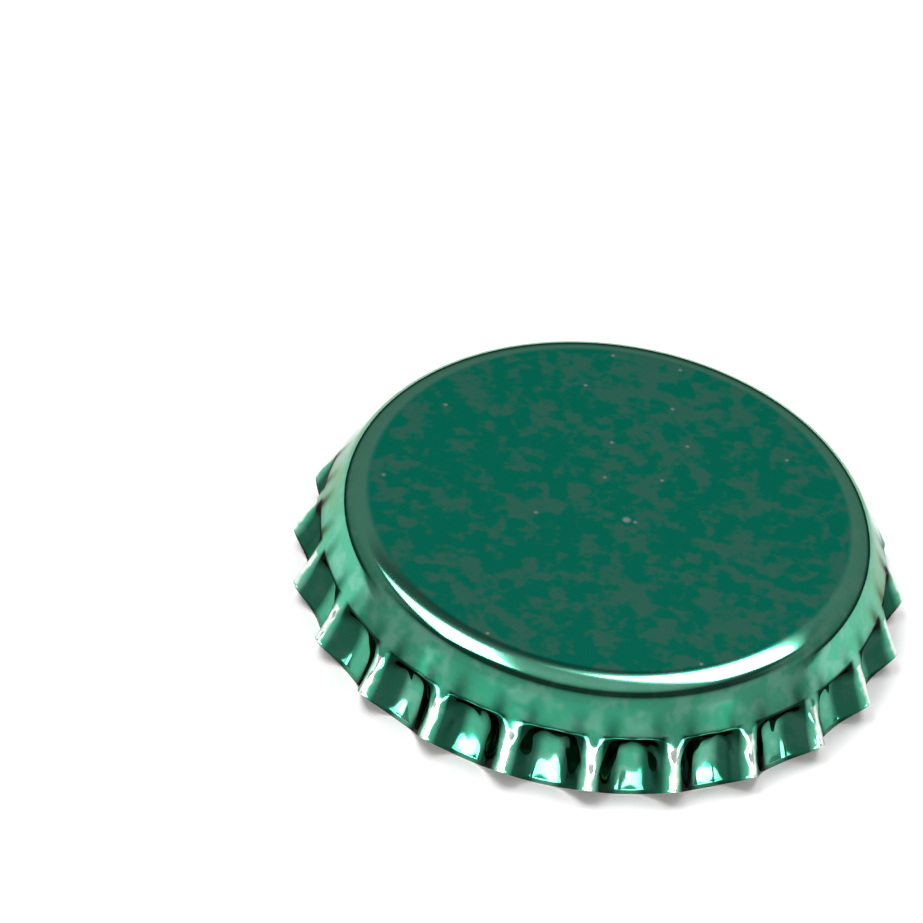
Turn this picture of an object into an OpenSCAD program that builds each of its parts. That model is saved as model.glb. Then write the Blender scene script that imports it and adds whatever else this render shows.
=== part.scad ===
// Crown bottle cap, 29 mm size: a fluted sheet-metal shell, a moulded liner
// and a moulded cup insert. Millimetres. The rim stands on z = 0, the panel
// is on top, and Z is the axis of the cap.

/* [Shell] */
// Height from the rim to the top of the panel
cap_h = 6.5; // [6:0.1:7.5]
// Outside diameter over the tips of the ridges
rim_d = 35.2; // [34.2:0.1:36.4]
// Diameter of the flat part of the panel
panel_flat_d = 27.6; // [26.8:0.1:28.4]
// Outside radius of the corner between panel and skirt
corner_r = 1.6; // [1.2:0.1:2]
// Thickness of the sheet
sheet_t = 0.28; // [0.2:0.01:0.32]

/* [Flutes] */
// Number of flutes round the skirt
flute_n = 23; // [20:1:26]
// Height above the rim at which the flutes begin
flute_top = 3.9; // [3.4:0.1:4.3]
// Height of the ridge tips above the valley bottoms
ridge_lift = 1.1; // [0.7:0.1:1.4]
// How far the ridge tips curve in from the line of the cone
ridge_turn = 0.12; // [0:0.02:0.2]
// Sharpness of the ridges, from round to keen
ridge_power = 2; // [1.4:0.1:2.6]
// Outside diameter across the bottoms of the valleys, at the rim
valley_d = 33; // [32.4:0.1:33.6]
// Angle at which a valley flares out from upright at the rim
valley_flare = 27; // [20:1:32]
// How far the flare holds up from the rim
flare_hold = 2.2; // [1.6:0.1:2.6]
// Pull that draws the head of a valley in from the cone
valley_pull = 1.3; // [0.9:0.1:1.5]
// Height of that pull above the rim
pull_h = 3.3; // [3:0.1:3.4]
// Angle of the first ridge about Z
first_ridge = -85.3; // [-180:0.1:180]

/* [Liner] */
// Depth of the liner, from the outside of the panel to its lip
liner_depth = 2.5; // [2.2:0.1:2.8]
// Thickness of the liner
liner_t = 0.45; // [0.3:0.01:0.5]
// Diameter of the bead that forms the lip
lip_d = 0.56; // [0.4:0.02:0.64]
// How far the bead stands in from the wall of the liner
lip_proud = 0.36; // [0.2:0.02:0.4]
// Clearance between the liner and the curved wall of the shell
liner_gap = 0.05; // [0.05:0.01:0.08]

/* [Cup insert] */
// Height of the insert from its seat to its mouth
cup_h = 3; // [2.6:0.1:3.4]
// Outside diameter of the base flange
cup_flange_d = 21.8; // [21.4:0.1:22.4]
// Thickness of the base flange
cup_flange_t = 0.5; // [0.35:0.05:0.8]
// Outside diameter of the wall where it leaves the flange
cup_wall_d = 21.1; // [20.9:0.1:21.2]
// Outside diameter of the mouth
cup_mouth_d = 20; // [19.6:0.1:20.2]
// Height of the narrower band below the mouth
cup_band_h = 1; // [0.7:0.1:1.4]
// Width of the step under that band
cup_step_w = 0.35; // [0.2:0.05:0.4]
// Width of the flat land round the mouth
cup_land_w = 0.8; // [0.5:0.1:1.1]
// Radius on both edges of the land
cup_edge_r = 0.2; // [0.1:0.05:0.25]
// Wall thickness of the bowl and of the outer wall
cup_wall_t = 0.6; // [0.45:0.05:0.7]
// Thickness of the bowl floor
cup_floor_t = 0.35; // [0.3:0.05:0.5]
// Diameter of the bowl floor
bowl_floor_d = 9.1; // [8.6:0.1:9.6]

/* [Bowl floor marks] */
// Diameter of the large ring on the bowl floor, to its middle
big_ring_d = 6.8; // [6.2:0.1:7.2]
// Diameter of the small ring round the centre, to its middle
small_ring_d = 2.7; // [2.2:0.1:3.2]
// Width of the rings and the spokes
mark_w = 0.3; // [0.2:0.05:0.4]
// Height of the rings and the spokes above the floor
mark_h = 0.18; // [0.1:0.01:0.25]
// Number of spokes between the two rings
spoke_n = 4; // [3:1:6]

/* [Gate mark] */
// Width of the gate stub left on the mouth by the mould
gate_w = 0.6; // [0.4:0.1:0.8]
// Reach of the gate stub beyond the mouth
gate_reach = 0.45; // [0.3:0.05:0.6]

/* [Hidden] */
$fn = 96;
overlap = 0.01;

// Shell profile: a flat panel, a corner arc and a cone that leaves the arc at a
// tangent. The cone aims at a point just outside the ridge tip. Points are
// [radius, height].
panel_r = panel_flat_d / 2;
corner_z = cap_h - corner_r;
aim = [rim_d / 2 + ridge_turn, ridge_lift];
aim_reach = norm(aim - [panel_r, corner_z]);
aim_angle = atan2(aim[1] - corner_z, aim[0] - panel_r);
cone_normal = aim_angle + acos(corner_r / aim_reach);
cone_start = [panel_r, corner_z] + corner_r * [cos(cone_normal), sin(cone_normal)];
cone_down = [sin(cone_normal), -cos(cone_normal)];

// Radius of the cone at a height
function cone_r(z) = aim[0] + (z - aim[1]) * (cone_start[0] - aim[0]) / (cone_start[1] - aim[1]);

// Rings of points down the outside of the shell
corner_steps = 3;
flute_steps = 7;
flute_head = [cone_r(flute_top), flute_top];
foot = [valley_d / 2, 0];
steps = corner_steps + 1 + flute_steps;

// A ridge runs down the cone and curves in by ridge_turn at its tip
function ridge_pt(u) = flute_head + u * (aim - flute_head) - [ridge_turn * u * u, 0];

// A valley is a Bezier curve that leaves the cone at the flute head, is pulled
// in below it and flares out again to the foot
head_hold = 0.15;
valley_line = [
    flute_head,
    flute_head + head_hold * cone_down,
    [flute_head[0] - valley_pull, pull_h],
    foot + flare_hold * [-sin(valley_flare), cos(valley_flare)],
    foot
];
function bezier(points, u) =
    len(points) == 1
    ? points[0]
    : bezier([for (i = [1:len(points) - 1]) (1 - u) * points[i - 1] + u * points[i]], u);
function valley_pt(u) = bezier(valley_line, u);

// Height of the wave at a phase, 1 on a ridge and 0 in the middle of a valley
function wave(phase) = pow((1 + cos(phase)) / 2, ridge_power);

// Profile point at step s (a real number) and phase
function profile(s, phase) =
    s <= corner_steps
    ? let (a = 90 + (cone_normal - 90) * s / corner_steps)
      [panel_r, corner_z] + corner_r * [cos(a), sin(a)]
    : s <= corner_steps + 1
    ? cone_start + (s - corner_steps) * (flute_head - cone_start)
    : let (u = (s - corner_steps - 1) / flute_steps, w = wave(phase))
      w * ridge_pt(u) + (1 - w) * valley_pt(u);

// Point of the outer surface at step s and angle a about Z
function skin(s, a) =
    let (p = profile(s, flute_n * (a - first_ridge)))
    [p[0] * cos(a), p[0] * sin(a), p[1]];

// Outward normal of the skin, from small steps along it and round it. A step
// stays on its own side of the rings where the profile changes form.
probe_s = 0.02;
probe_a = 0.05;
function normal(s, a) =
    let (
        s0 = s == 0 ? 0 : s - probe_s,
        s1 = s == 0 || (s < steps && s != corner_steps + 1) ? s + probe_s : s,
        down = skin(s1, a) - skin(s0, a),
        round = skin(s, a + probe_a) - skin(s, a - probe_a),
        n = cross(down, round)
    )
    s == 0 ? [0, 0, 1] : n / norm(n);

// Point of the inner surface. The rim is cut level, so there the sheet is
// measured across at the height of the edge.
function inner(s, a) =
    let (n = normal(s, a), level = [n[0], n[1], 0])
    skin(s, a) - sheet_t * (s == steps ? level / (level * level) : n);

// Angles at which the skin is sampled, the same number to each flute with one
// on the crest of the ridge
flute_samples = 9;
around = [
    for (k = [0:flute_n * flute_samples - 1])
    first_ridge + 360 * k / (flute_n * flute_samples)
];
count = len(around);

/* Shell: one piece of tinplate, drawn and fluted in a press. Outer rings run
   from the panel down to the rim, then inner rings run back up. */
module crown_shell() {
    rings = concat(
        [for (s = [0:steps]) [for (a = around) skin(s, a)]],
        [for (s = [steps:-1:0]) [for (a = around) inner(s, a)]]
    );
    last = len(rings) - 1;
    points = [for (ring = rings, p = ring) p];
    sides = [
        for (r = [0:last - 1], k = [0:count - 1])
        let (
            k2 = (k + 1) % count,
            p = r * count + k,
            q = r * count + k2,
            p2 = p + count,
            q2 = q + count
        )
        each [[p, q, p2], [q, q2, p2]]
    ];
    panel_top = [for (k = [count - 1:-1:0]) k];
    panel_under = [for (k = [0:count - 1]) last * count + k];
    color("#0a7358")
        polyhedron(points, concat([panel_top], sides, [panel_under]), convexity = 8);
}

// Region inside the shell profile, inset by d, from height z up: the flat panel,
// the corner arc and the cone
module bell(d, z) {
    out = [cos(cone_normal), sin(cone_normal)];
    arc_end = [panel_r, corner_z] + (corner_r - d) * out;
    translate([0, z])
        square([panel_r, cap_h - d - z]);
    intersection() {
        translate([panel_r, corner_z])
            circle(r = corner_r - d);
        translate([0, corner_z])
            square([rim_d, corner_r]);
    }
    polygon([
        [0, z],
        [cone_r(z) - d / cos(cone_normal), z],
        arc_end,
        [panel_r, corner_z],
        [0, corner_z]
    ]);
}

// Liner sizes that follow the shell
liner_out = sheet_t + liner_gap;
liner_in = liner_out + liner_t;
liner_face = cap_h - liner_in;
bead_z = cap_h - liner_depth + lip_d / 2;
liner_wall_r = cone_r(bead_z) - liner_in / cos(cone_normal);
bead_r = liner_wall_r - lip_proud + lip_d / 2;

/* Liner: a dish moulded into the shell. Its floor lies on the panel, its wall
   follows the corner and the cone, and a round bead forms its lip. */
module liner() {
    color("#9c9c97")
        rotate_extrude($fn = 144) {
            translate([0, liner_face])
                square([panel_r, cap_h - sheet_t - liner_face]);
            difference() {
                bell(liner_out, bead_z);
                bell(liner_in, bead_z - overlap);
            }
            translate([bead_r, bead_z])
                circle(d = lip_d);
        }
}

// Insert sizes. Heights run from the seat on the liner towards the mouth.
band_foot = cup_h - cup_band_h;
mouth_r = cup_mouth_d / 2;
land_r = mouth_r - cup_edge_r - cup_land_w;
bowl_mouth_r = land_r - cup_edge_r;
bowl_r = bowl_floor_d / 2;
// The bowl wall, from the edge of the land down to the floor
bowl_line = [bowl_mouth_r - bowl_r, cup_h - cup_edge_r - cup_floor_t];
// Shift of the bowl wall's underside, square to it
under = cup_wall_t * [bowl_line[1], -bowl_line[0]] / norm(bowl_line);
// Where that underside meets the seat and the roof of the hollow
hollow_roof = cup_h - cup_edge_r - cup_wall_t;
function under_r(h) = bowl_r + under[0] + (h - cup_floor_t - under[1]) * bowl_line[0] / bowl_line[1];

// Half section of the insert, radius across and height up
module cup_section() {
    difference() {
        union() {
            polygon([
                [0, 0],
                [cup_flange_d / 2, 0],
                [cup_flange_d / 2, cup_flange_t],
                [cup_wall_d / 2, cup_flange_t],
                [mouth_r + cup_step_w, band_foot],
                [mouth_r, band_foot],
                [mouth_r, cup_h - cup_edge_r],
                [bowl_mouth_r, cup_h - cup_edge_r],
                [bowl_r, cup_floor_t],
                [0, cup_floor_t]
            ]);
            translate([land_r, cup_h - 2 * cup_edge_r])
                square([cup_land_w, 2 * cup_edge_r]);
            for (r = [land_r, mouth_r - cup_edge_r])
                translate([r, cup_h - cup_edge_r])
                    circle(r = cup_edge_r);
        }
        polygon([
            [under_r(-overlap), -overlap],
            [under_r(hollow_roof), hollow_roof],
            [mouth_r - cup_wall_t, hollow_roof],
            [mouth_r + cup_step_w - cup_wall_t, band_foot],
            [cup_wall_d / 2 - cup_wall_t, -overlap]
        ]);
    }
}

// A ring of rectangular section on the bowl floor
module floor_ring(d) {
    difference() {
        cylinder(d = d + mark_w, h = mark_h + overlap);
        translate([0, 0, -overlap])
            cylinder(d = d - mark_w, h = mark_h + 3 * overlap);
    }
}

/* Insert: a cup moulded in soft plastic. Its flange and its bowl floor sit on
   the liner, and the outer wall and the bowl meet at the mouth. */
module insert_cup() {
    color("#c8cdd0")
        translate([0, 0, liner_face])
            mirror([0, 0, 1]) {
                rotate_extrude($fn = 144)
                    cup_section();
                translate([0, 0, cup_floor_t - overlap]) {
                    floor_ring(big_ring_d);
                    floor_ring(small_ring_d);
                    for (k = [0:spoke_n - 1])
                        rotate(360 / spoke_n * (k + 0.5))
                            translate([small_ring_d / 2, -mark_w / 2, 0])
                                cube([(big_ring_d - small_ring_d) / 2, mark_w, mark_h + overlap]);
                }
                translate([-gate_w / 2, mouth_r - cup_edge_r, cup_h - cup_edge_r - gate_w])
                    cube([gate_w, cup_edge_r + gate_reach, gate_w]);
            }
}

crown_shell();
liner();
insert_cup();
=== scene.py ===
# Crown bottle cap of the 29 mm size, standing on its rim. Lengths are millimetres until a mesh,
# lamp, camera or pattern is made, and metres from there.
import math

import bpy
import numpy as np
from mathutils import Matrix, Vector


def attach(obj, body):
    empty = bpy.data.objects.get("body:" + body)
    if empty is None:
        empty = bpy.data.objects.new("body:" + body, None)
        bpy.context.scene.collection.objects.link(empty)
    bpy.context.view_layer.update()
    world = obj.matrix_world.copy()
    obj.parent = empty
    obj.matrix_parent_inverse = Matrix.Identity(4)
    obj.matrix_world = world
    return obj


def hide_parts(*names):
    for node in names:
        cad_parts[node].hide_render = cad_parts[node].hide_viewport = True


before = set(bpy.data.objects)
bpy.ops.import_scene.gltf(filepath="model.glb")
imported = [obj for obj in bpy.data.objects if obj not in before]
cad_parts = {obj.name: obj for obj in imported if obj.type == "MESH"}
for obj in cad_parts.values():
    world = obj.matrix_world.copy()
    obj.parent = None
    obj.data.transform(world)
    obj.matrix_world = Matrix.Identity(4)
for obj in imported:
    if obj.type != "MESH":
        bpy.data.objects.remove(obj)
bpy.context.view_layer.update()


# ---------------------------------------------------------------------------------------------
# Camera. A long lens looks down on the cap from in front. It is rolled clockwise, because the cap
# is seen leaning, and aims up and left of the cap, which puts the cap low and right in the frame.
# ---------------------------------------------------------------------------------------------
MM = 0.001
CAMERA_ELEVATION = math.radians(41.92)
CAMERA_DISTANCE = 300.0
CAMERA_ROLL = math.radians(9.86)
CAMERA_AIM = (-8.8, 4.0, 4.4)
LENS = 204.5
SENSOR_WIDTH = 36.0
NEAREST = 10.0

camera = bpy.data.objects.new("camera", bpy.data.cameras.new("camera"))
bpy.context.scene.collection.objects.link(camera)
bpy.context.scene.camera = camera
camera.data.lens = LENS
camera.data.sensor_width = SENSOR_WIDTH
camera.data.clip_start = NEAREST * MM

from_front = Vector((0, -math.cos(CAMERA_ELEVATION), math.sin(CAMERA_ELEVATION)))
level_up = from_front.cross(Vector((1, 0, 0)))
rolled_up = level_up * math.cos(CAMERA_ROLL) - Vector((1, 0, 0)) * math.sin(CAMERA_ROLL)
place = from_front * CAMERA_DISTANCE
back = (place - Vector(CAMERA_AIM)).normalized()
right = rolled_up.cross(back).normalized()
turn = Matrix((right, back.cross(right), back)).transposed()
camera.matrix_world = Matrix.Translation(place * MM) @ turn.to_4x4()


# ---------------------------------------------------------------------------------------------
# Studio. White paper under the cap, a softbox high up on either side, and three low strips of
# light round the front, which glint in the flutes. The room is pale overhead and low in front.
# ---------------------------------------------------------------------------------------------
EASED = {"interpolation_type": "SMOOTHSTEP"}
OF_COLOURS = {"data_type": "RGBA"}


def linear(code):
    """Linear RGBA of an sRGB hex colour."""
    srgb = [int(code[i:i + 2], 16) / 255 for i in (1, 3, 5)]
    return [c / 12.92 if c <= 0.04045 else ((c + 0.055) / 1.055) ** 2.4 for c in srgb] + [1.0]


def add(tree, kind, settings=None, **inputs):
    """Add a node and return the outputs that it has in use, by name. Settings are its properties.
    Inputs are values or sockets to link, by name, or by number as _0 and _1 where names repeat."""
    node = tree.nodes.new(kind)
    for key, value in (settings or {}).items():
        setattr(node, key, value)
    in_use = [socket for socket in node.inputs if socket.enabled]
    by_name = {socket.name.replace(" ", "_"): socket for socket in in_use}
    by_number = {f"_{number}": socket for number, socket in enumerate(in_use)}
    for key, value in inputs.items():
        socket = by_number[key] if key in by_number else by_name[key]
        if isinstance(value, bpy.types.NodeSocket):
            tree.links.new(value, socket)
        else:
            socket.default_value = value
    return {socket.name: socket for socket in node.outputs if socket.enabled}


def new_material(name):
    """An empty node material, its tree, and the Principled shader that the tree ends in."""
    material = bpy.data.materials.new(name)
    material.use_nodes = True
    tree = material.node_tree
    tree.nodes.clear()
    surface = add(tree, "ShaderNodeBsdfPrincipled")["BSDF"]
    add(tree, "ShaderNodeOutputMaterial", Surface=surface)
    return material, tree, surface.node


# Photographer's paper: matt and white, with no sheen.
paper, _, paper_shader = new_material("white_paper")
paper_shader.inputs["Base Color"].default_value = linear("#FDFDFD")
paper_shader.inputs["Roughness"].default_value = 1.0
paper_shader.inputs["Specular IOR Level"].default_value = 0.0

PAPER_HALF = 2000.0
paper_corners = np.array([(-1, -1, 0), (1, -1, 0), (1, 1, 0), (-1, 1, 0)]) * PAPER_HALF
paper_mesh = bpy.data.meshes.new("paper")
paper_mesh.from_pydata((paper_corners * MM).tolist(), [], [(0, 1, 2, 3)])
paper_mesh.materials.append(paper)
paper_sheet = bpy.data.objects.new("paper_sheet", paper_mesh)
bpy.context.scene.collection.objects.link(paper_sheet)

# Each softbox is a dim sheet with a bright core just in front of it. Name, azimuth and elevation in
# degrees, distance, width and height in millimetres, and radiance, where 1 is the render's white.
LAMPS = (
    ("softbox_right", 53, 62, 510, 310, 200, 0.6),
    ("core_right", 53, 62, 490, 238, 152, 8.2),
    ("softbox_left", 170, 66, 510, 395, 235, 0.6),
    ("core_left", 170, 66, 490, 335, 188, 8.2),
    ("strip_front", -94, 5.9, 490, 640, 86, 15.0),
    ("strip_right", -41, 3.8, 490, 150, 54, 15.0),
    ("strip_left", -139, 3.8, 490, 150, 54, 15.0),
)


def softbox(name, azimuth, elevation, distance, width, height, radiance):
    """A rectangular lamp that faces the cap. Azimuth runs from +X towards +Y. Its watts are pi times
    its radiance and its area."""
    lamp = bpy.data.lights.new(name, "AREA")
    lamp.shape = "RECTANGLE"
    lamp.size = width * MM
    lamp.size_y = height * MM
    lamp.energy = radiance * math.pi * width * height * MM * MM
    a, e = math.radians(azimuth), math.radians(elevation)
    towards = Vector((math.cos(a) * math.cos(e), math.sin(a) * math.cos(e), math.sin(e)))
    lit = bpy.data.objects.new(name, lamp)
    lit.matrix_world = (Matrix.Translation(towards * distance * MM)
                        @ towards.to_track_quat("Z", "Y").to_matrix().to_4x4())
    lit.visible_camera = False
    bpy.context.scene.collection.objects.link(lit)


for lamp_facts in LAMPS:
    softbox(*lamp_facts)

# Brightness of the room against the sine of the elevation. The dark zones round 0.8 draw a dark line
# on either side of the shoulder's highlight, and the dark horizon behind draws the cap's far edge.
# The back of the room gives way to the front between two places along Y, where 1 is straight behind.
FRONT_OF_ROOM = ((0.0, 0.57), (0.34, 0.57), (0.50, 0.40), (0.60, 0.07), (0.86, 0.07),
                 (0.94, 0.55), (1.0, 0.75))
BACK_OF_ROOM = ((0.0, 0.05), (0.12, 0.05), (0.30, 0.32), (0.71, 0.36), (0.77, 0.12),
                (0.84, 0.12), (0.91, 0.5), (1.0, 0.75))
BACK_ENDS = 0.2
FRONT_BEGINS = -0.25

world = bpy.data.worlds.new("room")
bpy.context.scene.world = world
world.use_nodes = True
room = world.node_tree
room.nodes.clear()
heading = add(room, "ShaderNodeTexCoord")["Generated"]
heading_parts = add(room, "ShaderNodeSeparateXYZ", Vector=heading)
tones = []
for stops in (BACK_OF_ROOM, FRONT_OF_ROOM):
    tones.append(add(room, "ShaderNodeValToRGB", Fac=heading_parts["Z"])["Color"])
    elements = tones[-1].node.color_ramp.elements
    for position, brightness in stops[1:-1]:
        elements.new(position)
    for element, (position, brightness) in zip(elements, stops):
        element.position = position
        element.color = (brightness, brightness, brightness, 1)
in_front = add(room, "ShaderNodeMapRange", EASED, Value=heading_parts["Y"],
               From_Min=BACK_ENDS, From_Max=FRONT_BEGINS)["Result"]
room_tone = add(room, "ShaderNodeMix", OF_COLOURS, Factor=in_front, A=tones[0], B=tones[1])["Result"]
glow = add(room, "ShaderNodeBackground", Color=room_tone, Strength=1.0)["Background"]
add(room, "ShaderNodeOutputWorld", Surface=glow)
bpy.context.scene.view_settings.view_transform = "Standard"


# ---------------------------------------------------------------------------------------------
# Crown shell. One disc of tinplate, lacquered green on both sides, drawn to a shallow bell and
# pressed into flutes round the skirt. The blanking die leaves bare steel at the edge of the rim.
# ---------------------------------------------------------------------------------------------
CAP_HEIGHT = 6.5
PANEL_RADIUS = 13.8
CORNER_RADIUS = 1.6
SHEET = 0.28
FLUTES = 23
FLUTE_TOP = 3.9
FIRST_RIDGE = math.radians(-85.3)
RIDGE_POWER = 2.0

# TIP and FOOT are the radius and height at which a ridge and a valley end. A valley's curve holds to
# the cone for HEAD_HOLD, is pulled inwards by VALLEY_DIP, and ends along the flare for FOOT_HOLD.
TIP = (17.6, 1.1)
TIP_TURN = 0.12
FOOT = (16.5, 0.0)
FLARE = math.radians(27)
FOOT_HOLD = 2.2
HEAD_HOLD = 0.15
VALLEY_DIP = 1.3
DIP_HEIGHT = 3.3

# The shoulder's wide arc turns by SHOULDER_TURN and takes WIDE_SHARE of the shoulder's step.
SHOULDER_WIDE = 3.6
SHOULDER_TIGHT = 1.25
SHOULDER_TURN = math.radians(18)
WIDE_SHARE = 0.55

# Unevenness of the pressing. A wander is a size in radians of a flute's wave, a count round the cap
# and a start; a buckle is a count round the cap, a slant down the flutes and a start.
WANDERS = ((0.10, 3, 0.8), (0.07, 7, 2.1))
BUCKLES = ((59, 9, 0), (83, -12, 1.3))
BUCKLE_DEPTH = 0.032
BUCKLE_ON_RIDGE = 0.5

corner_height = CAP_HEIGHT - CORNER_RADIUS
aim = (TIP[0] + TIP_TURN, TIP[1])
aim_reach = math.hypot(aim[0] - PANEL_RADIUS, aim[1] - corner_height)
cone_normal = (math.atan2(aim[1] - corner_height, aim[0] - PANEL_RADIUS)
               + math.acos(CORNER_RADIUS / aim_reach))
cone_start = (PANEL_RADIUS + CORNER_RADIUS * math.cos(cone_normal),
              corner_height + CORNER_RADIUS * math.sin(cone_normal))


def cone_radius(height):
    """Radius of the cone: it falls straight from the end of the corner to just outside the tips."""
    share = (height - aim[1]) / (cone_start[1] - aim[1])
    return aim[0] + share * (cone_start[0] - aim[0])


def shoulder(turn):
    """Reach and height of the shoulder from where it leaves the panel, for the angle it has turned:
    a wide arc up to SHOULDER_TURN, then a tight one. Together they stay by the corner's own arc."""
    first = np.minimum(turn, SHOULDER_TURN)
    out = SHOULDER_WIDE * np.sin(first) + SHOULDER_TIGHT * (np.sin(turn) - np.sin(first))
    down = SHOULDER_WIDE * (1 - np.cos(first)) + SHOULDER_TIGHT * (np.cos(first) - np.cos(turn))
    return out, CAP_HEIGHT - down


full_turn = math.pi / 2 - cone_normal
shoulder_out, shoulder_foot = shoulder(full_turn)
shoulder_start = cone_radius(shoulder_foot) - shoulder_out


def wave(angle):
    """Height of the flutes round the skirt, 1 on a ridge and 0 in a valley: a raised cosine to a
    power. The sines in WANDERS shift the flutes a little, as pressing does."""
    wander = sum(size * np.sin(count * angle + start) for size, count, start in WANDERS)
    phase = FLUTES * (angle - FIRST_RIDGE) + wander
    return ((1 + np.cos(phase)) / 2) ** RIDGE_POWER


def bezier(points, share):
    """Point of a Bezier curve by de Casteljau's rule: neighbours are blended until one is left."""
    while len(points) > 1:
        points = [(1 - share) * p + share * q for p, q in zip(points, points[1:])]
    return points[0]


def skin(step, angle):
    """Outside of the shell. Step 0 to 1 is the shoulder, 1 to 2 the plain band of the cone, and
    2 to 3 the flutes: down the cone with a slight turn in at the tip on a ridge, a Bezier curve
    that dips in and flares out to the foot in a valley, and a blend of the two between them.
    Shallow buckles run across the flutes, where the press gathered the sheet."""
    turned = np.interp(step, (0, WIDE_SHARE, 1), (0, SHOULDER_TURN, full_turn))
    out, height_on_shoulder = shoulder(turned)
    band = np.clip(step - 1, 0, 1)
    fall = np.clip(step - 2, 0, 1)
    head = (cone_radius(FLUTE_TOP), FLUTE_TOP)
    hold = (head[0] + HEAD_HOLD * math.sin(cone_normal),
            head[1] - HEAD_HOLD * math.cos(cone_normal))
    dip = (head[0] - VALLEY_DIP, DIP_HEIGHT)
    flare = (FOOT[0] - FOOT_HOLD * math.sin(FLARE), FOOT[1] + FOOT_HOLD * math.cos(FLARE))
    ridge = wave(angle)
    ripple = sum(np.sin(count * angle + slant * fall + start) for count, slant, start in BUCKLES)
    buckle = BUCKLE_DEPTH * (1 - BUCKLE_ON_RIDGE * ridge) * np.sin(math.pi * fall) * ripple
    place = []
    for axis in (0, 1):
        corner = (shoulder_start + out, height_on_shoulder)[axis]
        cone_top = (shoulder_start + shoulder_out, shoulder_foot)[axis]
        cone = cone_top + band * (head[axis] - cone_top)
        crest = head[axis] + fall * (aim[axis] - head[axis]) - (TIP_TURN, 0)[axis] * fall ** 2
        valley = bezier([point[axis] for point in (head, hold, dip, flare, FOOT)], fall)
        flute = ridge * crest + (1 - ridge) * valley + (buckle, 0)[axis]
        place.append(np.where(step <= 1, corner, np.where(step <= 2, cone, flute)))
    radius, height, angle = np.broadcast_arrays(*place, angle)
    return np.stack([radius * np.cos(angle), radius * np.sin(angle), height], axis=-1)


def outward(rows, steps, angles):
    """Unit normals of a skin grid: the slope down the rows crossed with the slope round the columns,
    which go on past the seam."""
    down = np.gradient(rows, steps, axis=0)
    wrapped = np.concatenate([rows[:, -1:], rows, rows[:, :1]], axis=1)
    turns = np.concatenate([angles[-1:] - 2 * math.pi, angles, angles[:1] + 2 * math.pi])
    around = np.gradient(wrapped, turns, axis=1)[:, 1:-1]
    normals = np.cross(down, around)
    return normals / np.linalg.norm(normals, axis=-1, keepdims=True)


def wrapped_piece(name, rows, materials, material_of_row=None):
    """A closed piece over a grid of points (row, column, xyz). The columns run round the axis of
    the piece, the first and last rows are closed by a pole, and the faces point outwards."""
    row_count, column_count, _ = rows.shape
    points = np.concatenate([rows.reshape(-1, 3), rows[0].mean(0)[None], rows[-1].mean(0)[None]])
    row = np.arange(row_count - 1)[:, None] * column_count
    column = np.arange(column_count)[None, :]
    beside = (column + 1) % column_count
    quads = np.stack([row + column, row + column_count + column,
                      row + column_count + beside, row + beside], axis=-1).reshape(-1, 4)
    first_pole, last_pole = row_count * column_count, row_count * column_count + 1
    top = np.stack([np.full(column_count, first_pole), column[0], beside[0]], axis=-1)
    end = np.stack([np.full(column_count, last_pole), row[-1] + column_count + beside[0],
                    row[-1] + column_count + column[0]], axis=-1)
    mesh = bpy.data.meshes.new(name)
    mesh.from_pydata((points * MM).tolist(), [], quads.tolist() + top.tolist() + end.tolist())
    mesh.polygons.foreach_set("use_smooth", np.ones(len(mesh.polygons), dtype=bool))
    for material in materials:
        mesh.materials.append(material)
    if material_of_row is not None:
        with_poles = np.concatenate([material_of_row, material_of_row[:1], material_of_row[-1:]])
        slots = np.repeat(with_poles.astype(np.int32), column_count)
        mesh.polygons.foreach_set("material_index", slots)
    mesh.update()
    piece = bpy.data.objects.new(name, mesh)
    bpy.context.scene.collection.objects.link(piece)
    return piece


# Lacquer over tinplate: clear green on bright metal, so the metal's reflections come back green.
# It is thin and grey in patches. Over the shoulder it is paler, partly where it was drawn thin and
# partly as a painted highlight that keeps the shoulder's highlight white. Painted shade and dark
# reflection darken the flutes' folds, flanks and streaks. The crests are pale tin, partly rubbed
# through and partly a painted highlight. A few pale flecks lie on the panel.
LACQUER_PANEL = "#109D80"
LACQUER_BAND = "#28A27C"
# Thin lacquer in patches, also laid over the shoulder as a painted highlight.
LACQUER_THIN_AND_HIGHLIGHT = "#58AB8F"
# Painted shade: the dark of the flutes' folds, flanks and streaks.
LACQUER_PAINTED_SHADE = "#002A1E"
MOTTLE_GREY = "#4D9A84"
FLECK_GREY = "#C4CBC7"
# Pale tin along the crests: partly rubbed wear, partly a painted highlight.
BARE_TIN_AND_HIGHLIGHT = "#DCE3DE"
lacquer, lacquer_tree, lacquer_shader = new_material("green_lacquer_on_tinplate")
on_cap = add(lacquer_tree, "ShaderNodeTexCoord")["Object"]
above_rim = add(lacquer_tree, "ShaderNodeSeparateXYZ", Vector=on_cap)["Z"]

# Mottle: thin patches in the coat, where a fine noise passes PATCH_EDGE. A cloudy noise adds a little
# to it, so that they stand closer together in some places than in others.
MOTTLE_GRAIN = 1.0
MOTTLE_DETAIL = 3.0
CLOUD_GRAIN = 9.0
CLOUD_WEIGHT = 0.3
PATCH_EDGE = (0.60, 0.78)
mottle = add(lacquer_tree, "ShaderNodeTexNoise", Vector=on_cap, Scale=1 / (MOTTLE_GRAIN * MM),
             Detail=MOTTLE_DETAIL)["Fac"]
cloud = add(lacquer_tree, "ShaderNodeTexNoise", Vector=on_cap, Scale=1 / (CLOUD_GRAIN * MM))["Fac"]
clouded = add(lacquer_tree, "ShaderNodeMath", {"operation": "MULTIPLY_ADD"},
              _0=cloud, _1=CLOUD_WEIGHT, _2=mottle)["Value"]
patches = add(lacquer_tree, "ShaderNodeMapRange", EASED, Value=clouded,
              From_Min=PATCH_EDGE[0], From_Max=PATCH_EDGE[1])["Result"]
mottled_green = add(lacquer_tree, "ShaderNodeMix", OF_COLOURS, Factor=patches,
                    A=linear(LACQUER_PANEL), B=linear(MOTTLE_GREY))["Result"]

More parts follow.
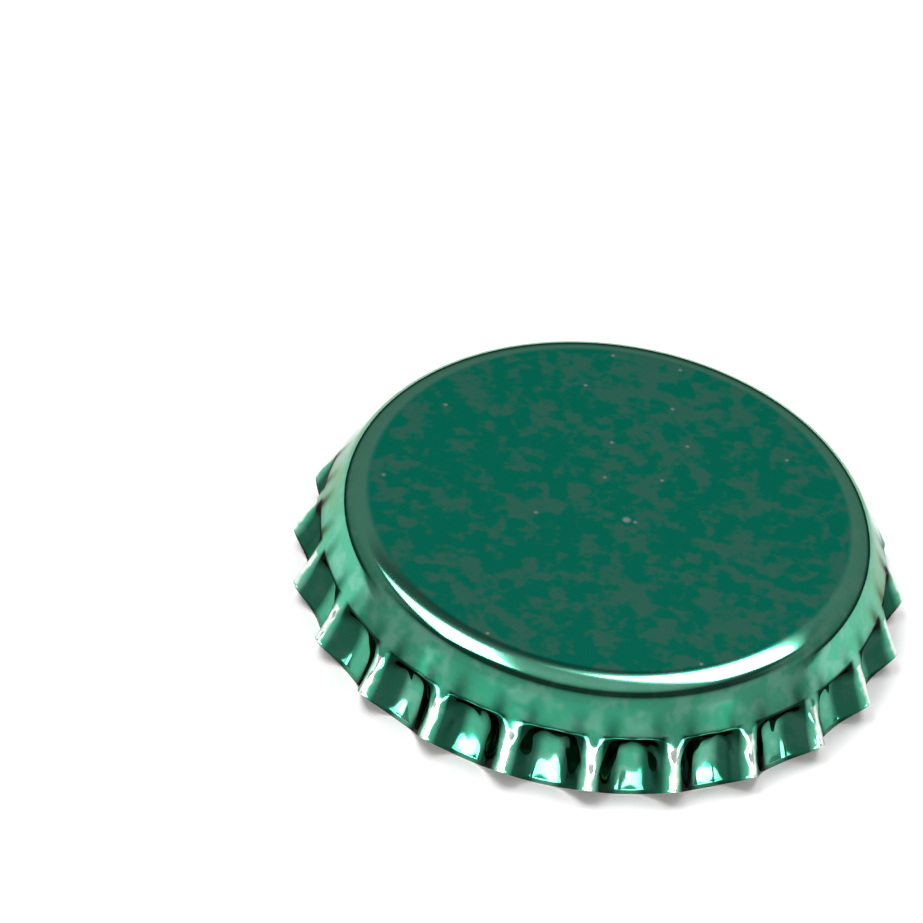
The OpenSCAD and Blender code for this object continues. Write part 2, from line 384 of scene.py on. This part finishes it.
# Flecks: a dot in the middle of each cell whose random grey passes FLECK_RARITY, and a larger chip
# near the middle of the panel. The cells are shifted to where the flecks scatter well.
FLECK_SPACING = 3.6
FLECK_SHIFT = (83, -57, 0)
FLECK_RADIUS = 0.18
FLECK_RARITY = 0.70
CHIP_PLACE = (1.06, -0.96, CAP_HEIGHT)
CHIP_RADIUS = 0.32
CHIP_CORE = 0.3
for_flecks = add(lacquer_tree, "ShaderNodeVectorMath", {"operation": "ADD"}, _0=on_cap,
                 _1=[length * MM for length in FLECK_SHIFT])["Vector"]
cells = add(lacquer_tree, "ShaderNodeTexVoronoi", {"voronoi_dimensions": "2D"}, Vector=for_flecks,
            Scale=1 / (FLECK_SPACING * MM))
in_rare_cell = add(lacquer_tree, "ShaderNodeMath", {"operation": "GREATER_THAN"},
                   _0=cells["Color"], _1=FLECK_RARITY)["Value"]
in_dot = add(lacquer_tree, "ShaderNodeMapRange", EASED, Value=cells["Distance"],
             From_Min=FLECK_RADIUS / FLECK_SPACING, From_Max=0)["Result"]
fleck = add(lacquer_tree, "ShaderNodeMath", {"operation": "MULTIPLY"},
            _0=in_rare_cell, _1=in_dot)["Value"]
from_chip = add(lacquer_tree, "ShaderNodeVectorMath", {"operation": "DISTANCE"}, _0=on_cap,
                _1=[length * MM for length in CHIP_PLACE])["Value"]
chip = add(lacquer_tree, "ShaderNodeMapRange", EASED, Value=from_chip,
           From_Min=CHIP_RADIUS * MM, From_Max=CHIP_CORE * CHIP_RADIUS * MM)["Result"]
fleck_or_chip = add(lacquer_tree, "ShaderNodeMath", {"operation": "MAXIMUM"},
                    _0=fleck, _1=chip)["Value"]
panel_green = add(lacquer_tree, "ShaderNodeMix", OF_COLOURS, Factor=fleck_or_chip,
                  A=mottled_green, B=linear(FLECK_GREY))["Result"]

# Skirt: paler over the shoulder, partly drawn thin and partly a painted highlight; darkened by
# painted shade and dark reflection in the folds and flanks; and pale tin on the crests by fits and
# starts, partly rubbed wear and partly a painted highlight. The shell's mesh carries the painted
# shade and how high on a crest each point is, and a depth is measured down from the panel.
# Over the shoulder the lacquer is paler: partly drawn thin, partly a painted highlight that keeps the
# shoulder's highlight white.
DRAWN_AND_HIGHLIGHT_DEPTH = (0.45, 0.20)
DRAWN_THINNING_AND_HIGHLIGHT = 0.7
RUB_AND_HIGHLIGHT_GRAIN = 0.5
RUB_AND_HIGHLIGHT_UNEVEN = 0.12
RUB_AND_HIGHLIGHT_EDGE = (0.98, 1.07)
drawn_and_highlight = add(lacquer_tree, "ShaderNodeMapRange", EASED, Value=above_rim,
            From_Min=(CAP_HEIGHT - DRAWN_AND_HIGHLIGHT_DEPTH[0]) * MM,
            From_Max=(CAP_HEIGHT - DRAWN_AND_HIGHLIGHT_DEPTH[1]) * MM)["Result"]
drawn_thin_and_highlight = add(lacquer_tree, "ShaderNodeMath", {"operation": "MULTIPLY"},
                 _0=drawn_and_highlight, _1=DRAWN_THINNING_AND_HIGHLIGHT)["Value"]
thin_and_highlight = add(lacquer_tree, "ShaderNodeMath", {"operation": "MAXIMUM"},
           _0=patches, _1=drawn_thin_and_highlight)["Value"]
band_green = add(lacquer_tree, "ShaderNodeMix", OF_COLOURS, Factor=thin_and_highlight,
                 A=linear(LACQUER_BAND), B=linear(LACQUER_THIN_AND_HIGHLIGHT))["Result"]
# Painted shade and dark reflection, carried by the shell's mesh.
hollow = add(lacquer_tree, "ShaderNodeAttribute", {"attribute_name": "hollow"})["Fac"]
painted_shade_green = add(lacquer_tree, "ShaderNodeMix", OF_COLOURS, Factor=hollow,
                     A=band_green, B=linear(LACQUER_PAINTED_SHADE))["Result"]
crest = add(lacquer_tree, "ShaderNodeAttribute", {"attribute_name": "crest"})["Fac"]
# Pale tin on the crests, partly rubbed wear and partly a painted highlight.
rub_and_highlight_noise = add(lacquer_tree, "ShaderNodeTexNoise", Vector=on_cap, Scale=1 / (RUB_AND_HIGHLIGHT_GRAIN * MM))["Fac"]
rub_and_highlight = add(lacquer_tree, "ShaderNodeMath", {"operation": "MULTIPLY_ADD"},
          _0=rub_and_highlight_noise, _1=RUB_AND_HIGHLIGHT_UNEVEN, _2=crest)["Value"]
worn_and_highlight = add(lacquer_tree, "ShaderNodeMapRange", EASED, Value=rub_and_highlight,
           From_Min=RUB_AND_HIGHLIGHT_EDGE[0], From_Max=RUB_AND_HIGHLIGHT_EDGE[1])["Result"]
skirt_green = add(lacquer_tree, "ShaderNodeMix", OF_COLOURS, Factor=worn_and_highlight,
                  A=painted_shade_green, B=linear(BARE_TIN_AND_HIGHLIGHT))["Result"]

# Gloss: the clear coat is full on the band and the crests, and nearly gone on the panel and
# under the painted shade, which this darkens further.
PANEL_DEPTH = (0.045, 0.004)
BAND_COAT = 0.85
PANEL_COAT = 0.05
on_panel = add(lacquer_tree, "ShaderNodeMapRange", EASED, Value=above_rim,
               From_Min=(CAP_HEIGHT - PANEL_DEPTH[0]) * MM,
               From_Max=(CAP_HEIGHT - PANEL_DEPTH[1]) * MM)["Result"]
lacquer_colour = add(lacquer_tree, "ShaderNodeMix", OF_COLOURS, Factor=on_panel,
                     A=skirt_green, B=panel_green)["Result"]
coatless = add(lacquer_tree, "ShaderNodeMath", {"operation": "MAXIMUM"}, _0=hollow,
               _1=on_panel)["Value"]
gloss = add(lacquer_tree, "ShaderNodeMapRange", Value=coatless,
            To_Min=BAND_COAT, To_Max=PANEL_COAT)["Result"]
lacquer_tree.links.new(lacquer_colour, lacquer_shader.inputs["Base Color"])
lacquer_tree.links.new(lacquer_colour, lacquer_shader.inputs["Specular Tint"])
lacquer_tree.links.new(gloss, lacquer_shader.inputs["Coat Weight"])
lacquer_shader.inputs["Metallic"].default_value = 1.0
lacquer_shader.inputs["Roughness"].default_value = 0.10
lacquer_shader.inputs["Coat Roughness"].default_value = 0.04
lacquer_shader.inputs["Coat IOR"].default_value = 1.65

# Cut edge of the sheet: bare steel, sheared by the blanking die, bright with a fine drag. The drag
# is drawn coarser than it is, so that it shows.
SHEARED_STEEL = "#D9D2D0"
DRAG_GRAIN = 0.25
DRAG_ROUGHNESS = (0.3, 0.5)
cut_edge, edge_tree, edge_shader = new_material("sheared_steel_edge")
on_edge = add(edge_tree, "ShaderNodeTexCoord")["Object"]
drag = add(edge_tree, "ShaderNodeTexNoise", Vector=on_edge, Scale=1 / (DRAG_GRAIN * MM))["Fac"]
dragged = add(edge_tree, "ShaderNodeMapRange", Value=drag,
              To_Min=DRAG_ROUGHNESS[0], To_Max=DRAG_ROUGHNESS[1])["Result"]
edge_tree.links.new(dragged, edge_shader.inputs["Roughness"])
edge_shader.inputs["Base Color"].default_value = linear(SHEARED_STEEL)
edge_shader.inputs["Metallic"].default_value = 1.0

# Rows crowd together over the fold at the head of the flutes, and columns on the ridges. A run of
# rows is the step where it starts, the step where it ends, and its number of rows with both ends.
ROW_RUNS = ((0, 1, 14), (1, 1.9, 5), (1.9, 2.15, 9), (2.15, 3, 23))
COLUMNS_PER_FLUTE = 35
CROWDING = 0.45
RIM_ROWS = 7
EDGE_ROUND = 0.05
EDGE_POWER = 4
PANEL_ROWS = 7
POLE_SHARE = 0.1

even = np.linspace(0, 2 * math.pi, FLUTES * COLUMNS_PER_FLUTE, endpoint=False)
angles = FIRST_RIDGE + even - CROWDING / FLUTES * np.sin(FLUTES * even)
steps = np.concatenate([[0.0]] + [np.linspace(*run)[1:] for run in ROW_RUNS])
outside = skin(steps[:, None], angles[None, :])
inside = outside - SHEET * outward(outside, steps, angles)
rim_out, rim_in = outside[-1:], inside[-1:].copy()
rim_in[..., 2] = rim_out[..., 2]
across = np.linspace(0, 1, RIM_ROWS)[:, None, None]
rim = rim_out + across * (rim_in - rim_out)
rim[..., 2] += EDGE_ROUND * (2 * across[..., 0] - 1) ** EDGE_POWER
disc_radii = np.linspace(POLE_SHARE, 1, PANEL_ROWS)[:-1, None, None]
panel_top = outside[0] * disc_radii
panel_top[..., 2] = CAP_HEIGHT
panel_under = inside[0] * disc_radii[::-1]
panel_under[..., 2] = CAP_HEIGHT - SHEET
shell_rows = np.concatenate([panel_top, outside[:-1], rim, inside[-2::-1], panel_under])
first_rim_row = len(panel_top) + len(outside) - 1
shell_slots = np.zeros(len(shell_rows) - 1)
shell_slots[first_rim_row:first_rim_row + len(rim) - 1] = 1
shell = wrapped_piece("fluted_shell", shell_rows, [lacquer, cut_edge], shell_slots)

# Painted shade and dark reflection in the flutes, which darken the lacquer's colour. STEPS are
# steps of the skin, a WAVE is a range of the height of the flutes' wave, a COSINE is a range of the
# raised cosine under it, and each of the STREAK_SINES is a count round the cap and a start.
STREAK_STEPS = (1.15, 2.0)
STREAK_POWER = 1.3
STREAK_SIDE = 0.7
STREAK_SINES = ((5, 0.9), (11, 0))
STREAK_UNEVEN = 0.2
FOLD_STEPS = (1.88, 1.97, 2.25, 2.5)
FOLD_AMOUNTS = (0, 1, 1, 0.9)
FLANK_WAVE = (0.72, 0.97)
FLOOR_COSINE = (0.05, 0.30)
FLOOR_STEPS = (2.4, 2.65)
FLOOR_CLEARED = 0.7
CREST_RISE = 6


def hollow_of(step, angle):
    """How much painted shade and dark reflection a point gets, 0 to 1: the larger of flank and
    streak. The flank is all that lies between the crests from the fold down, less most of the valley
    floors. A streak is a squared bump half way up each side of a flute, which fades up the band and
    differs from one to the next."""
    ridge = wave(angle)
    side = ridge ** STREAK_SIDE
    first, second = (np.sin(count * angle + start) for count, start in STREAK_SINES)
    uneven = 1 - STREAK_UNEVEN + STREAK_UNEVEN * first * second
    down_band = np.interp(step, STREAK_STEPS, (0, 1)) ** STREAK_POWER
    streak = uneven * (4 * side * (1 - side)) ** 2 * down_band
    fold = np.interp(step, FOLD_STEPS, FOLD_AMOUNTS)
    flank = np.interp(ridge, FLANK_WAVE, (1, 0)) * fold
    cosine = ridge ** (1 / RIDGE_POWER)
    floor = np.interp(cosine, FLOOR_COSINE, (1, 0)) * np.interp(step, FLOOR_STEPS, (0, 1))
    return np.maximum(streak, flank * (1 - FLOOR_CLEARED * floor))


def crest_of(step, angle):
    """How high on a crest a point is, 0 to 1: the wave, which sets in below the flutes' heads."""
    return wave(angle) * np.clip(CREST_RISE * (step - 2), 0, 1)


# The painted shade, and how high on a crest each point is, go on the shell's mesh.
for label, amount_of in (("hollow", hollow_of), ("crest", crest_of)):
    on_shell = np.zeros(shell_rows.shape[:2])
    on_shell[len(panel_top):len(panel_top) + len(outside)] = amount_of(steps[:, None], angles[None, :])
    layer = shell.data.attributes.new(label, "FLOAT", "POINT")
    layer.data.foreach_set("value", np.concatenate([on_shell.ravel(), [0, 0]]))
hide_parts("crown_shell")
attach(shell, "root")


# ---------------------------------------------------------------------------------------------
# Liner. A dish of soft compound, moulded hot against the inside of the shell by a round punch,
# with a bead as its lip, which seals on the bottle.
# ---------------------------------------------------------------------------------------------
# LINER is its wall, BEAD is the bead's width, and BEAD_TURN is how far the bead curls, in degrees.
LINER = 0.45
LINER_GAP = 0.05
LINER_DEPTH = 2.5
BEAD = 0.56
BEAD_PROUD = 0.36
BEAD_TURN = 200
LINER_POLE = 0.2
LINER_COLUMNS = 256


def arc(centre, radius, start, end, count):
    """Points on a circle from one angle to another, in degrees, as (radius, height) pairs."""
    a = np.radians(np.linspace(start, end, count))
    return np.stack([centre[0] + radius * np.cos(a), centre[1] + radius * np.sin(a)], axis=-1)


def line(start, end, count):
    """Points spread evenly on a straight line between two (radius, height) pairs, from the first
    up to just before the last."""
    share = np.linspace(0, 1, count, endpoint=False)[:, None]
    return np.asarray(start) + share * (np.asarray(end) - np.asarray(start))


def lathe(profile, columns):
    """Grid of a profile of (radius, height) pairs turned about the Z axis: x and y are the radius
    times the cosine and sine of the column's angle."""
    angle = np.linspace(0, 2 * math.pi, columns, endpoint=False)[None, :]
    radius, height = profile[:, :1], profile[:, 1:] + 0 * angle
    return np.stack([radius * np.cos(angle), radius * np.sin(angle), height], axis=-1)


# Sealing compound: soft, grey and satin, paler on the lip, with the fine grain of the punch, which is
# drawn coarser than it is, so that it shows.
COMPOUND_DARK = "#8E8E89"
COMPOUND_PALE = "#A3A39E"
LIP_PALE = "#D7D7DE"
FLOW_GRAIN = 2.5
PUNCH_GRAIN = 0.12
PUNCH_DETAIL = 1.0
PUNCH_DEPTH = 0.01
PUNCH_STRENGTH = 0.25
LIP_FADE = 0.25
lip_top = CAP_HEIGHT - LINER_DEPTH + BEAD
compound, compound_tree, compound_shader = new_material("moulded_liner_compound")
on_liner = add(compound_tree, "ShaderNodeTexCoord")["Object"]
liner_above_rim = add(compound_tree, "ShaderNodeSeparateXYZ", Vector=on_liner)["Z"]
lip = add(compound_tree, "ShaderNodeMapRange", EASED, Value=liner_above_rim,
          From_Min=(lip_top + LIP_FADE) * MM, From_Max=lip_top * MM)["Result"]
flow = add(compound_tree, "ShaderNodeTexNoise", Vector=on_liner, Scale=1 / (FLOW_GRAIN * MM))["Fac"]
flow_grey = add(compound_tree, "ShaderNodeMix", OF_COLOURS, Factor=flow,
                A=linear(COMPOUND_DARK), B=linear(COMPOUND_PALE))["Result"]
compound_colour = add(compound_tree, "ShaderNodeMix", OF_COLOURS, Factor=lip,
                      A=flow_grey, B=linear(LIP_PALE))["Result"]
punch = add(compound_tree, "ShaderNodeTexNoise", Vector=on_liner, Scale=1 / (PUNCH_GRAIN * MM),
            Detail=PUNCH_DETAIL)["Fac"]
punched = add(compound_tree, "ShaderNodeBump", Height=punch, Strength=PUNCH_STRENGTH,
              Distance=PUNCH_DEPTH * MM)["Normal"]
compound_tree.links.new(compound_colour, compound_shader.inputs["Base Color"])
compound_tree.links.new(punched, compound_shader.inputs["Normal"])
compound_shader.inputs["Roughness"].default_value = 0.32

out_by = SHEET + LINER_GAP
in_by = out_by + LINER
face = CAP_HEIGHT - in_by
normal_degrees = math.degrees(cone_normal)
bead_height = CAP_HEIGHT - LINER_DEPTH + BEAD / 2
wall_out = cone_radius(bead_height) - out_by / math.cos(cone_normal)
wall_in = cone_radius(bead_height) - in_by / math.cos(cone_normal)
bead_centre = (wall_in - BEAD_PROUD + BEAD / 2, bead_height)
corner_centre = (PANEL_RADIUS, corner_height)
corner_out = arc(corner_centre, CORNER_RADIUS - out_by, 90, normal_degrees, 14)
corner_in = arc(corner_centre, CORNER_RADIUS - in_by, normal_degrees, 90, 14)
bead = arc(bead_centre, BEAD / 2, 0, -BEAD_TURN, 22)
liner_profile = np.concatenate([
    line((LINER_POLE, CAP_HEIGHT - SHEET), (PANEL_RADIUS, CAP_HEIGHT - SHEET), 8),
    corner_out,
    line(corner_out[-1], (wall_out, bead_height), 6)[1:],
    line((wall_out, bead_height), bead[0], 4),
    bead,
    line(bead[-1], corner_in[0], 8)[1:],
    corner_in,
    line((PANEL_RADIUS, face), (LINER_POLE, face), 30)[1:],
])
liner = wrapped_piece("moulded_liner", lathe(liner_profile, LINER_COLUMNS), [compound])
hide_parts("liner")
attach(liner, "root")


# ---------------------------------------------------------------------------------------------
# Cup insert. A thin cup moulded in soft polyethylene, milky and translucent. Its flange and its
# floor sit on the liner, and its floor carries two raised rings and four short ribs.
# ---------------------------------------------------------------------------------------------
# Heights are from the seat on the liner. EDGE is the round of the mouth's two edges and LAND the flat
# between them, an EASE is a small bevel, and a mark is a ring or rib raised from the bowl's floor.
CUP_HEIGHT = 3.0
CUP_WALL = 0.6
CUP_FLOOR = 0.35
FLANGE = 0.5
FLANGE_RADIUS = 10.9
FLANGE_EASE = 0.08
FLANGE_FOOT_EASE = 0.06
WALL_FOOT = 10.55
WALL_FOOT_EASE = 0.05
MOUTH_RADIUS = 10.0
BAND_HEIGHT = 1.0
BAND_STEP = 0.35
BAND_EASE = 0.06
LAND = 0.8
EDGE = 0.2
BOWL_FLOOR = 4.55
FLOOR_RINGS = (1.35, 3.4)
RIBS = 4
MARK_WIDTH = 0.3
MARK_HEIGHT = 0.18
MARK_SLOPE = 0.25
CUP_POLE = 0.15
CUP_COLUMNS = 320
FLOOR_ROWS = 60

# Soft polyethylene: milky, slightly waxy, and lit through where it is thin.
MILK_DARK = "#C4CACE"
MILK_PALE = "#D8DCE0"
MILK_GRAIN = 3.0
MILK_DEPTH = 0.8
polyethylene, cup_tree, cup_shader = new_material("moulded_polyethylene")
on_cup = add(cup_tree, "ShaderNodeTexCoord")["Object"]
milk = add(cup_tree, "ShaderNodeTexNoise", Vector=on_cup, Scale=1 / (MILK_GRAIN * MM))["Fac"]
milk_colour = add(cup_tree, "ShaderNodeMix", OF_COLOURS, Factor=milk,
                  A=linear(MILK_DARK), B=linear(MILK_PALE))["Result"]
cup_tree.links.new(milk_colour, cup_shader.inputs["Base Color"])
cup_shader.inputs["Roughness"].default_value = 0.33
cup_shader.inputs["IOR"].default_value = 1.51
cup_shader.inputs["Transmission Weight"].default_value = 0.35
cup_shader.inputs["Subsurface Weight"].default_value = 0.3
cup_shader.inputs["Subsurface Radius"].default_value = (1.0, 1.0, 1.0)
cup_shader.inputs["Subsurface Scale"].default_value = MILK_DEPTH * MM


def from_seat(radius, height):
    """A point of the cup given by its radius and its height from the seat on the liner, which is
    taken from the height of the liner's face because the cup hangs mouth down."""
    return (radius, face - height)


land_in = MOUTH_RADIUS - EDGE - LAND
bowl_top = land_in - EDGE
slope = np.array([bowl_top - BOWL_FLOOR, CUP_HEIGHT - EDGE - CUP_FLOOR])
under = CUP_WALL * np.array([slope[1], -slope[0]]) / np.linalg.norm(slope)
roof = CUP_HEIGHT - EDGE - CUP_WALL
band_foot = CUP_HEIGHT - BAND_HEIGHT


def under_radius(height):
    """Radius of the underside of the bowl at a height from the seat: the bowl's slope, moved square
    to itself by the wall."""
    return BOWL_FLOOR + under[0] + (height - CUP_FLOOR - under[1]) * slope[0] / slope[1]


# Corners of the profile, from the pole on the seat, up and down the hollow behind the bowl, round the
# flange and up the outside to the mouth, and the number of rows on the way from each to the next.
OUTER_ROWS = (6, 8, 3, 8, 4, 2, 3, 2, 3, 2, 5, 2, 3, 5)
outer_corners = (
    from_seat(CUP_POLE, 0),
    from_seat(under_radius(0), 0),
    from_seat(under_radius(roof), roof),
    from_seat(MOUTH_RADIUS - CUP_WALL, roof),
    from_seat(WALL_FOOT - CUP_WALL, 0),
    from_seat(FLANGE_RADIUS - FLANGE_FOOT_EASE, 0),
    from_seat(FLANGE_RADIUS, FLANGE_FOOT_EASE),
    from_seat(FLANGE_RADIUS, FLANGE - FLANGE_EASE),
    from_seat(FLANGE_RADIUS - FLANGE_EASE, FLANGE),
    from_seat(WALL_FOOT + WALL_FOOT_EASE, FLANGE),
    from_seat(WALL_FOOT, FLANGE + WALL_FOOT_EASE),
    from_seat(MOUTH_RADIUS + BAND_STEP, band_foot - BAND_EASE),
    from_seat(MOUTH_RADIUS + BAND_STEP - BAND_EASE, band_foot),
    from_seat(MOUTH_RADIUS, band_foot),
    from_seat(MOUTH_RADIUS, CUP_HEIGHT - EDGE),
)
cup_profile = np.concatenate([
    *map(line, outer_corners, outer_corners[1:], OUTER_ROWS),
    arc(from_seat(MOUTH_RADIUS - EDGE, CUP_HEIGHT - EDGE), EDGE, 0, -90, 7),
    line(from_seat(MOUTH_RADIUS - EDGE, CUP_HEIGHT), from_seat(land_in, CUP_HEIGHT), 5)[1:],
    arc(from_seat(land_in, CUP_HEIGHT - EDGE), EDGE, -90, -180, 7),
    line(from_seat(bowl_top, CUP_HEIGHT - EDGE), from_seat(BOWL_FLOOR, CUP_FLOOR), 14)[1:],
    line(from_seat(BOWL_FLOOR, CUP_FLOOR), from_seat(CUP_POLE, CUP_FLOOR), FLOOR_ROWS),
])


def raised_mark(distance):
    """Height of a raised mark, 0 to 1, at a distance from its middle line: flat on top, with
    straight sloping sides that are half way up at half its width."""
    return np.clip((MARK_WIDTH / 2 - np.abs(distance)) / (MARK_SLOPE * MARK_WIDTH) + 0.5, 0, 1)


cup_rows = lathe(cup_profile, CUP_COLUMNS)
bowl_floor = cup_rows[-FLOOR_ROWS:]
radius = np.hypot(bowl_floor[..., 0], bowl_floor[..., 1])
azimuth = np.arctan2(bowl_floor[..., 1], bowl_floor[..., 0])
rings = np.maximum(raised_mark(radius - FLOOR_RINGS[0]), raised_mark(radius - FLOOR_RINGS[1]))
half_sector = math.pi / RIBS
off_rib = (azimuth % (2 * half_sector) - half_sector) * radius
between_rings = (radius > FLOOR_RINGS[0]) & (radius < FLOOR_RINGS[1])
marks = np.maximum(rings, between_rings * raised_mark(off_rib))
bowl_floor[..., 2] -= marks * MARK_HEIGHT
cup = wrapped_piece("cup_insert_moulding", cup_rows, [polyethylene])
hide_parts("insert_cup")
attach(cup, "root")


# ---------------------------------------------------------------------------------------------
# Gate stub. The thread of plastic that filled the cup's mould, torn off just outside the mouth. It
# is a short rod of the same polyethylene that points outwards, with a round, slightly dimpled end.
# ---------------------------------------------------------------------------------------------
GATE = 0.6
GATE_REACH = 0.45
GATE_FOOT = 0.1
GATE_POLE = 0.02
GATE_TIP = ((0.28, 0.06), (0.18, 0.02), (0.09, 0), (0.03, 0.04), (0, 0.12))
GATE_COLUMNS = 28

# The tip is given by its distance in from the rod's side and its drop below the rod's end. The rod is
# made standing up on the lathe, and then laid down along Y.
gate_end = EDGE + GATE_REACH
gate_tip = [(GATE / 2 - inwards, gate_end - drop) for inwards, drop in GATE_TIP]
gate_side = [(GATE / 2, GATE_FOOT), (GATE / 2, 0), (GATE_POLE, 0)]
gate_upright = lathe(np.array(gate_tip + gate_side), GATE_COLUMNS)
gate_rows = gate_upright[..., [0, 2, 1]] * (1, 1, -1)
gate_rows += (0, *from_seat(MOUTH_RADIUS - EDGE, CUP_HEIGHT - EDGE - GATE / 2))
gate = wrapped_piece("gate_stub", gate_rows, [polyethylene])
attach(gate, "root")
